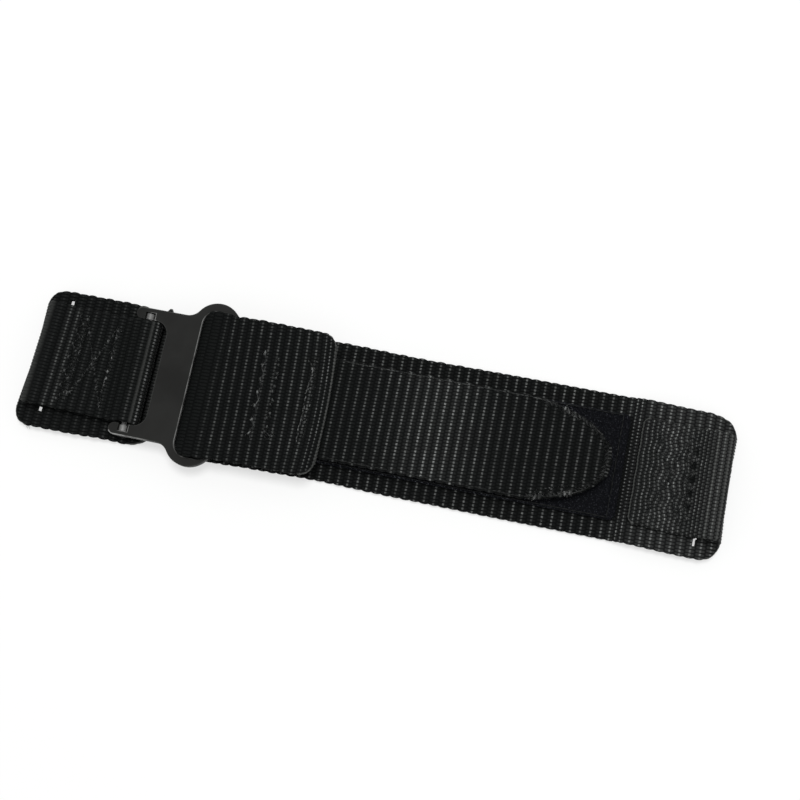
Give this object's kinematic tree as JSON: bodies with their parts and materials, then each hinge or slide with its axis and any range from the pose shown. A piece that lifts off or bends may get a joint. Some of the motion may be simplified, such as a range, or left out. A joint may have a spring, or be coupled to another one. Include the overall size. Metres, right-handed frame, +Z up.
{
  "type": "watch strap",
  "caption": "Nylon webbing watch strap with a metal fork-and-ring buckle on a spring bar and a hook and loop closure tab.",
  "frame": {"origin": "middle of the box round the strap, on the surface it lies on", "axes": "+X along the strap from the short piece's lug end to the long piece's, +Y across the strap, +Z up through the plies"},
  "size_m": [0.1274, 0.03, 0.007],
  "materials": {
    "wide_webbing": "black ribbed nylon webbing, matt with fine bright warp floats",
    "narrow_webbing": "black ribbed nylon webbing, matt with fine bright warp floats",
    "thread": "black bonded nylon thread",
    "loop_pile": "black brushed loop pile",
    "hook_tape": "black woven hook tape",
    "coated_metal": "satin black coating on steel, worn brighter along the edges",
    "bar_steel": "turned bright steel"
  },
  "bodies": {
    "short_piece": {"short_pad": "wide_webbing", "short_strip": "narrow_webbing", "short_tunnel_seam": "thread", "short_cross_seam": "thread"},
    "buckle": {"buckle_frame": "coated_metal"},
    "spring_bar": {"spring_bar_tube": "bar_steel", "spring_bar_spring": "bar_steel"},
    "bar_tip_upper": {"spring_bar_tip_upper": "bar_steel"},
    "bar_tip_lower": {"spring_bar_tip_lower": "bar_steel"},
    "long_piece": {"long_webbing": "wide_webbing", "loop_patch": "loop_pile", "patch_seam": "thread", "lug_strip": "narrow_webbing", "lug_tunnel_seam": "thread", "lug_cross_seam": "thread"},
    "closure": {"closure_flap": "wide_webbing", "flap_seam_front": "thread", "flap_seam_back": "thread", "hook_tab": "narrow_webbing", "hook_tape": "hook_tape", "tab_seam": "thread"}
  },
  "joints": [
    {"name": "buckle_hinge", "type": "hinge", "parent": "short_piece", "child": "buckle", "pos_m": [-0.04305, 0, 0.0039], "axis": [0, -1, 0], "range_deg": [-25, 110]},
    {"name": "strap_swivel", "type": "hinge", "parent": "buckle", "child": "long_piece", "pos_m": [-0.02675, 0, 0.00444], "axis": [0, 1, 0], "range_deg": [-60, 110]},
    {"name": "flap_peel", "type": "hinge", "parent": "long_piece", "child": "closure", "pos_m": [-0.02545, 0, 0.00654], "axis": [0, -1, 0], "range_deg": [0, 150]},
    {"name": "bar_spin", "type": "hinge", "parent": "buckle", "child": "spring_bar", "pos_m": [-0.04305, 0, 0.0039], "axis": [0, 1, 0], "continuous": true},
    {"name": "tip_slide_upper", "type": "slide", "parent": "spring_bar", "child": "bar_tip_upper", "axis": [0, -1, 0], "range_m": [0, 0.0008], "stiffness_N_per_m": 600, "springref_m": -0.0008, "deforming": ["spring_bar_spring"]},
    {"name": "tip_slide_lower", "type": "slide", "parent": "spring_bar", "child": "bar_tip_lower", "axis": [0, 1, 0], "range_m": [0, 0.0008], "stiffness_N_per_m": 600, "springref_m": -0.0008, "deforming": ["spring_bar_spring"]}
  ]
}
